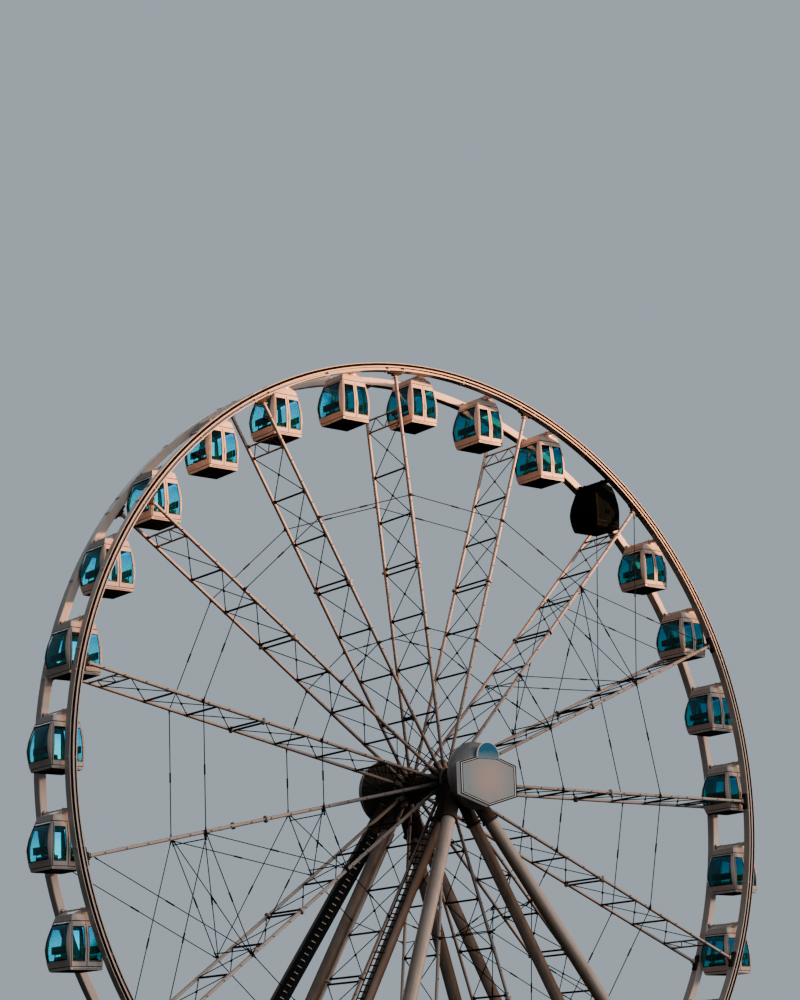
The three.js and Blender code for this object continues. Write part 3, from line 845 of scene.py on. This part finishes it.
for name, side in FACES:
    for leg in LEGS:
        begin(f"{name}_{leg}_legs")
        for hand in (-1, 1):
            high, low, way, radius = leg_line(leg, hand, side)
            rod(low + way * 0.02, high + way * 0.15, radius, 32)
            whole()
            cut_off_below((0, 0, FOOT_TOP))
            reach = (high - low).length
            for share in LEG_SPLICES:
                at = low + way * reach * share
                turned(at, way, [(radius + wide, along) for wide, along in LEG_SPLICE_OUTLINE], 32)
                bolts(at + way * 0.045, way, radius + 0.06, 16, 0.024)
                bolts(at - way * 0.045, -way, radius + 0.06, 16, 0.024)
            block(low - Vector((0.55, 0.55, 0.08)), low + Vector((0.55, 0.55, 0)), 0.01)
            for turn in (0, 60, 120):
                turned_to = (0, 0, radians(turn))
                block(low - Vector((0.46, 0.012, 0.03)), low + Vector((0.46, 0.012, 0.42)), 0.004, turned_to)
            bolts(low, (0, 0, 1), 0.5, 12, 0.03)
        # Only the front outer legs take the lit tower paint; the other legs take its painted-shade copy.
        legs = close("stand", "tower_paint", tower_white if leg == "outer" and side < 0 else tower_shaded)
    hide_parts(name + "_tower")

    begin(name + "_leg_sockets")
    for hand in (-1, 1):
        for leg in LEGS:
            high, low, way, radius = leg_line(leg, hand, side)
            hoop(high, -way, [(radius + wide, along) for wide, along in SOCKET_OUTLINE], 32)
            bolts(high - way * 1.14, way, radius + 0.055, 16, 0.022)
    weld()
    close("stand", "hub_paint", socket_brown)
    begin(name + "_tower_head")
    near, far = sorted((side * 1.5, side * 2.72))
    block((-0.7, near, 20.35), (0.7, far, 20.95), 0.03)
    for hand in (-1, 1):
        block((hand * 0.58 - 0.02, near - 0.02, 20.36), (hand * 0.58 + 0.02, far + 0.02, 21.25), 0.006)
        slab(Vector((hand * 0.36, side * 2.1, 20.32)), (0.3, 0.3, 0.04), 0.01)
    for y in (near + 0.02, far - 0.02):
        block((-0.6, y - 0.015, 20.36), (0.6, y + 0.015, 21.2), 0.006)
    hoop(AXLE, (0, side, 0), BEARING, 48)
    for y in (1.6, 2.705):
        bolts(on_wheel(0, 0, side * y), (0, side * (y - 2), 0), 0.42, 16, 0.028)
    for y in (1.75, 2.15, 2.55):
        near, far = y - 0.03, y + 0.03
        hoop(AXLE, (0, side, 0), ((0.55, near), (0.585, near), (0.585, far), (0.55, far)), 48)
    weld()
    close("stand", "hub_paint", hub_grey)
    begin(name + "_bearing_ring")
    hoop(AXLE, (0, side, 0), ((0.5, 1.6), (0.5, 1.53), (0.56, 1.515), (0.62, 1.53), (0.62, 1.6)), 48)
    weld()
    close("stand", "hub_paint", tower_white)


def beside_leg(leg, hand, side, away, gap):
    """The two ends of a line along one side of a leg, the way along it and the way out from the leg."""
    high, low, way, radius = leg_line(leg, hand, side)
    away = Vector(away)
    away = (away - way * away.dot(way)).normalized()
    off = away * (radius + gap)
    return low.lerp(high, 0.03) + off, low.lerp(high, 0.95) + off, way, away


def ladder(name, low, high, way, away, rung_finish, wide, thick):
    """A fixed ladder on brackets, with rungs of one thickness."""
    begin(name)
    across = away.cross(way).normalized() * wide / 2
    for rail in (-across, across):
        rod(low + rail, high + rail, 0.03, 8)
    reach = (high - low).length
    for count in range(int(reach / 2.4)):
        at = low + way * (0.6 + 2.4 * count)
        for rail in (-across, across):
            rod(at + rail, at + rail * 0.6 - away * 0.2, 0.02, 6)
    close("stand", "tower_paint", ladder_steel)
    begin(name + "_rungs")
    for count in range(int(reach / 0.3)):
        at = low + way * (0.2 + 0.3 * count)
        for off in (-0.035, 0, 0.035):
            rod(at + away * off - across, at + away * off + across, thick, 6)
    close("stand", "tower_paint", rung_finish)


ladder("front_ladder", *beside_leg("inner", -1, -1, (-0.8, -0.35, 0.47), 0.14), ladder_steel, 0.36, 0.014)
ladder("cable_ladder", *beside_leg("outer", -1, 1, (-0.35, -0.9, -0.1), 0.24), rim_white, 0.2, 0.026)
# The duct is near-black navy: a duct, and also painted shade for the shaded side of the back leg.
begin("cable_duct")
low, high, way, away = beside_leg("outer", -1, 1, (-0.2, -0.95, -0.1), 0.05)
slab((low + high) / 2, (0.31, 0.07, (high - low).length / 2), 0.008,
     Matrix((away.cross(way), away, way)).transposed().to_euler())
close("stand", "tower_paint", duct_navy_and_shade)
begin("cable_pipe")
low, high, way, away = beside_leg("inner", -1, 1, (0.8, -0.6, 0), 0.07)
rod(low, high, 0.06)
for count in range(9):
    slab(low.lerp(high, 0.05 + 0.11 * count) - away * 0.05, (0.09, 0.09, 0.03), 0.006)
close("stand", "tower_paint", tower_shaded)

# Front hub cover: a dished cover of grey sheet on a round neck, with a six-sided sign box bolted to it.
# The box is bare but for a double border line; a round blue badge with a pale rim, bare too, stands over it.
COVER_SIDES = 72
COVER_OUTLINE = ((0.42, 2.7053), (0.42, 3.06), (0.55, 3.08), (1.37, 3.085), (1.42, 3.1), (1.43, 3.13),
                 (1.43, 3.2), (1.423, 3.204), (1.423, 3.212), (1.424, 3.216), (1.405, 3.31), (1.378, 3.41),
                 (1.34, 3.51), (1.29, 3.6), (1.22, 3.69), (1.13, 3.77), (1.02, 3.83), (0.9, 3.872),
                 (0.78, 3.9), (0.2, 3.915))
cover_grey, place = finish("cover_grey", Coat_Weight=0.1)
soot_and_shade = between(cloud(place, 1, 5, (4, 4, 0.5)) * 0.5 + cloud(place, 0.8) * 0.5, 0.45, 0.78) * 0.5
# The grey sheet darkens to near-black below about the axle's height, most at the bottom: painted shade under
# the covers.
low_down = between(place.axis(2), 21.6, 20.5)
paint = blend(soot_and_shade, (0.3, 0.34, 0.37), (0.13, 0.11, 0.09))
feed(cover_grey, Base_Color=blend(low_down * 0.85, paint, (0.035, 0.04, 0.035)),
     Roughness=soot_and_shade * 0.3 + 0.34)
begin("front_cover_shell")
turned(AXLE, (0, -1, 0), COVER_OUTLINE, COVER_SIDES)
bolts(on_wheel(0, 0, -3.085), (0, 1, 0), 1.25, 24, 0.02)
dish = close("stand", "cover_skin", cover_grey, smooth=24)
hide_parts("front_hub_cover")

SIGN = AXLE + Vector((0, 0, -0.27))
SIGN_WIDTH, SIGN_HEIGHT = 1.52, 1.115
SIDE_HEIGHT = 0.66
sign_face, place = finish("sign_face", Coat_Weight=0.2, Coat_Roughness=0.2)
middle = place.vector("DISTANCE", place, SIGN + Vector((0.05, -4.08, 0.05)))
mottle = cloud(place, 0.5, 5)
faded = blend(between(middle + mottle * 0.5, 1.5, 0.6), (0.17, 0.34, 0.42), (0.42, 0.4, 0.42))
feed(sign_face, Base_Color=blend(between(mottle, 0.55, 0.8) * 0.3, faded, (0.3, 0.28, 0.26)),
     Roughness=mottle * 0.2 + 0.3)
sign_line, place = finish("sign_line", Specular_IOR_Level=0.02)
mottle = cloud(place, 0.3)
feed(sign_line, Base_Color=blend(mottle, (0.004, 0.006, 0.009), (0.016, 0.017, 0.018)),
     Roughness=mottle * 0.1 + 0.85)
# The box's white paint, its margin and the badge's rim glow faintly: a painted glow that lights their shaded
# sides.
sign_white_painted_glow = weathered("sign_white_painted_glow", (0.78, 0.75, 0.73), (0.4, 0.37, 0.34), 0.5, 0.3,
                       Emission_Color=(0.8, 0.84, 0.9), Emission_Strength=0.12)


def six_sided(scale, y, thick, edge=0.0):
    """A board with six sides, its points up and down, between two places along the axle."""
    bpy.ops.mesh.primitive_circle_add(
        vertices=6, radius=1, fill_type="NGON", location=SIGN + Vector((0, y, 0)),
        rotation=(pi / 2, 0, 0))
    bpy.ops.transform.resize(value=(SIGN_WIDTH / 0.866 * scale, 1, SIGN_HEIGHT * scale))
    push((0, -thick, 0))
    if edge:
        inset(edge)
        bpy.ops.transform.translate(value=(0, -edge * 0.5, 0))


def square_the_sides():
    """Sets the upright sides of what was just drawn to the sign's own height."""
    pick("VERT", lambda at, way: abs(at.x) > 1)
    bpy.ops.transform.resize(value=(1, 1, SIDE_HEIGHT / (SIGN_HEIGHT / 2)), center_override=SIGN)


begin("sign_box")
six_sided(1.0, -3.84, 0.225, 0.012)
square_the_sides()
close("stand", "cover_skin", sign_white_painted_glow, smooth=10)
begin("sign_plate")
six_sided(0.985, -4.065, 0.008)
square_the_sides()
close("stand", "cover_skin", sign_face, smooth=10)
begin("sign_back_strap")
for z in (-0.55, 0.0, 0.55):
    slab(SIGN + Vector((0, -3.825, z)), (1.1, 0.025, 0.05), 0.004)
close("stand", "cover_skin", cover_grey)
for title, rings, surface in (
    ("lines", ((0.998, 0.955), (0.925, 0.895)), sign_line),
    ("margin", ((0.953, 0.927),), sign_white_painted_glow),
):
    begin("sign_border_" + title)
    for outer, inner in rings:
        six_sided(outer, -4.07, 0.006)
        inset((outer - inner) * 1.25)
        bpy.ops.mesh.delete(type="FACE")
    pick("FACE", lambda at, way: at.y > -4.0705)
    bpy.ops.mesh.delete(type="FACE")
    square_the_sides()
    mode("OBJECT")
    modified(bpy.context.object, "SOLIDIFY", thickness=0.004, offset=-1)
    mode("EDIT")
    close("stand", "cover_skin", surface)

badge_blue, place = finish("badge_blue", Specular_IOR_Level=0.1)
mottle = cloud(place, 0.25, 4)
feed(badge_blue, Roughness=mottle * 0.2 + 0.4, Base_Color=blend(
    between(place.axis(2) + mottle * 0.25, 22.45, 22.05), (0.0, 0.17, 0.36), (0.24, 0.42, 0.47)))
BADGE = AXLE + Vector((0, 0, 0.695))
for title, draw, outline, surface in (
    ("disc", turned, ((0.572, 4.05), (0.572, 4.108), (0.568, 4.112), (0.05, 4.112)), badge_blue),
    ("rim", hoop, ((0.57, 4.05), (0.6, 4.05), (0.6, 4.112), (0.595, 4.118), (0.577, 4.118), (0.57, 4.112)),
     sign_white_painted_glow),
):
    begin("badge_" + title)
    draw(BADGE, (0, -1, 0), outline, 64)
    weld()
    cut_off_below(BADGE - Vector((0, 0, 0.1)))
    close("stand", "cover_skin", surface, smooth=10)

# Back hub cover: a shallow dished disc of sheet, bolted behind the back bearing. Its inner side is open, so
# that its face, ribs and pale edge show between the spokes; the face and ribs are near-black, painted shade.
RIBS = 16
RIB_Y = 2.945
# Painted shade: a near-black finish for the disc's inner face and ribs.
dish_painted_shade = weathered("dish_painted_shade", (0.04, 0.043, 0.036), (0.12, 0.085, 0.058), 0.8, 0.6, (0.8, 0.8, 0.8),
                       Specular_IOR_Level=0.03)
begin("back_disc")
turned(AXLE, (0, 1, 0), ((0.42, 2.7053), (0.42, 2.96), (1.36, 2.985), (1.38, 2.925), (1.4, 2.92),
                         (1.43, 2.93), (1.43, 3.07), (1.4, 3.11), (0.2, 3.11)), COVER_SIDES)
disc = close("stand", "cover_skin", cover_grey, smooth=30)
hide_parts("back_hub_cover")
begin("back_disc_liner")
hoop(AXLE, (0, 1, 0), ((0.43, 2.952), (1.355, 2.977), (1.375, 2.928), (1.4, 2.916), (1.405, 2.912),
                       (1.37, 2.914), (1.35, 2.965), (0.43, 2.945)), COVER_SIDES)
weld()
bpy.ops.mesh.hide()
rod(on_wheel(0, 0.45, RIB_Y), on_wheel(0, 1.34, RIB_Y), 0.03, 8)
rod(AXLE + Vector((0.12, RIB_Y, 0.45)), AXLE + Vector((0.26, RIB_Y, 1.32)), 0.018, 8)
round_axle(RIBS)
close("stand", "cover_skin", dish_painted_shade)

# Ground frame: deep beams on the ground that tie the eight feet together, with stiffener plates along them.
BEAM_Y, FRAME_TOP = 2.29, 0.25
begin("ground_beams")
for side in (-1, 1):
    for along, low, high in (
        (0, (-12.35, side * BEAM_Y - 0.2, 0), (12.35, side * BEAM_Y + 0.2, FRAME_TOP)),
        (1, (side * 11.35 - 0.2, -8.63, 0), (side * 11.35 + 0.2, 8.63, FRAME_TOP)),
    ):
        block(low, high, 0.012)
        pick("FACE", lambda at, way, low=low, high=high, along=along: (
            abs(way[1 - along]) > 0.9 and abs(at[along]) < 1 and 0.1 < at.z < 0.15
            and low[1 - along] - 0.01 < at[1 - along] < high[1 - along] + 0.01))
        inset(0.035)
        sink(0.06)
    for hand in (-1, 1):
        for top, foot, radius in LEGS.values():
            slab(Vector((hand * foot[0], side * foot[1], FRAME_TOP / 2)), (0.55, 0.55, FRAME_TOP / 2), 0.015)
beams = close("stand", "tower_paint", tower_white)
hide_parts("ground_frame")

# Boarding deck: ribbed metal boards on posts, with tube railings round it, steps at the front and a gap in
# the rails where the cabins pass.
DECK_TOP = 0.8
ON_BEAM = 0.2503
BOARDS, BOARD_STEP = 33, 0.279
RAIL_X, RAIL_FRONT, RAIL_BACK, RAIL_HEIGHT = 4.53, -4.33, 2.42, 1.05
STEP_RISE, STEP_GOING = 0.17, 0.28
deck_grey = weathered("deck_grey", (0.3, 0.31, 0.32), (0.16, 0.13, 0.1), 0.5, 0.6, Metallic=0.5)
rail_steel = weathered("rail_steel", (0.46, 0.47, 0.48), (0.22, 0.18, 0.14), 0.35, 0.4, Metallic=0.7)
begin("deck_boards")
block((-4.6, -4.4, 0.68), (4.6, 2.49, 0.785), 0.008)
for count in range(BOARDS):
    x = -4.59 + count * BOARD_STEP
    block((x, -4.39, 0.78), (x + 0.268, 2.48, DECK_TOP), 0.004)
for x in (-RAIL_X, 0, RAIL_X):
    slab(Vector((x, RAIL_FRONT, 0.345)), (0.07, 0.07, 0.345), 0.006)
    for side in (-1, 1):
        block((x - 0.07, side * BEAM_Y - 0.07, ON_BEAM), (x + 0.07, side * BEAM_Y + 0.07, 0.69), 0.006)
deck = close("stand", "deck_steel", deck_grey)
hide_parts("boarding_deck")
begin("deck_rails")
RAILS = [((-RAIL_X, RAIL_FRONT), (-1.6, RAIL_FRONT)), ((1.6, RAIL_FRONT), (RAIL_X, RAIL_FRONT)),
         ((-RAIL_X, RAIL_BACK), (RAIL_X, RAIL_BACK))]
for x in (-RAIL_X, RAIL_X):
    RAILS += [((x, RAIL_FRONT), (x, -1.5)), ((x, 1.5), (x, RAIL_BACK))]
for ends in RAILS:
    start, end = (Vector((*corner, DECK_TOP)) for corner in ends)
    spans = max(1, round((end - start).length / 1.45))
    for height in (0.12, 0.55, RAIL_HEIGHT):
        rod(start + Vector((0, 0, height)), end + Vector((0, 0, height)), 0.024 if height > 1 else 0.016, 10)
    for count in range(spans + 1):
        at = start.lerp(end, count / spans)
        rod(at, at + Vector((0, 0, RAIL_HEIGHT)), 0.024, 10)
        block(at - Vector((0.06, 0.06, 0)), at + Vector((0.06, 0.06, 0.012)), 0.002)
close("stand", "deck_steel", rail_steel)
begin("deck_steps")
for count in range(1, 5):
    y, z = -4.4 - STEP_GOING * count, DECK_TOP - STEP_RISE * count
    block((-1.45, y, z - 0.035), (1.45, y + 0.3, z), 0.005)
for x in (-1.5, 1.5):
    block((x - 0.02, -5.6, 0.34), (x + 0.02, -4.3, 0.48), 0.004, (radians(29), 0, 0))
    for y, z in ((-4.45, 0.75), (-5.55, 0.0)):
        rod((x, y, z), (x, y, z + 1.0), 0.024, 10)
    rod((x, -4.45, 1.75), (x, -5.55, 1.0), 0.024, 10)
    rod((x, -4.45, 1.3), (x, -5.55, 0.55), 0.016, 10)
close("stand", "deck_steel", rail_steel)

# Drive stands: a portal of square posts on each side of the lowest cabin, on the ground beams. Rubber tyres
# on upright shafts stand beside both rims, each with its motor below.
TYRE_ANGLE, TYRE_Y = radians(22), 1.726
HALF_TYRE = ((0.33, 0.07), (0.3, 0.105), (0.24, 0.11), (0.22, 0.09), (0.1, 0.09))
MOTOR = ((0.1, 0), (0.14, 0.02), (0.14, 0.5), (0.17, 0.53), (0.17, 0.6))
rubber, place = finish("rubber", Specular_IOR_Level=0.3)
scuffs = cloud(place, 0.08, 4)
feed(rubber, Base_Color=blend(scuffs, (0.012, 0.012, 0.012), (0.045, 0.042, 0.04)),
     Roughness=scuffs * 0.3 + 0.55, Normal=bump(scuffs, 0.5, 0.004))
for name, hand in (("left", -1), ("right", 1)):
    x = hand * CABIN_RADIUS * sin(TYRE_ANGLE)
    z = AXLE.z - CABIN_RADIUS * cos(TYRE_ANGLE)
    begin(name + "_drive_frame")
    block((x - 0.15, -BEAM_Y, ON_BEAM), (x + 0.15, BEAM_Y, 0.45), 0.01)
    for side in (-1, 1):
        y = side * BEAM_Y
        block((x - 0.15, y - 0.15, ON_BEAM), (x + 0.15, y + 0.15, z + 0.2), 0.02)
        block((x - 0.24, y - 0.24, ON_BEAM), (x + 0.24, y + 0.24, 0.28), 0.004)
        near, far = sorted((side * 1.64, y))
        for height in (-0.17, 0.17):
            block((x - 0.11, near, z + height - 0.02), (x + 0.11, far, z + height + 0.02), 0.004)
        rod((x, side * TYRE_Y, z - 0.3), (x, side * TYRE_Y, z + 0.24), 0.045, 16)
        turned((x, side * TYRE_Y, z - 0.9), (0, 0, 1), MOTOR, 20)
    portal = close("stand", "deck_steel", deck_grey)
    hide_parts(name + "_drive_stand")
    begin(name + "_drive_tyres")
    for side in (-1, 1):
        turned((x, side * TYRE_Y, z), (0, 0, 1), both_halves(HALF_TYRE), 40)
    close("stand", "deck_steel", rubber)
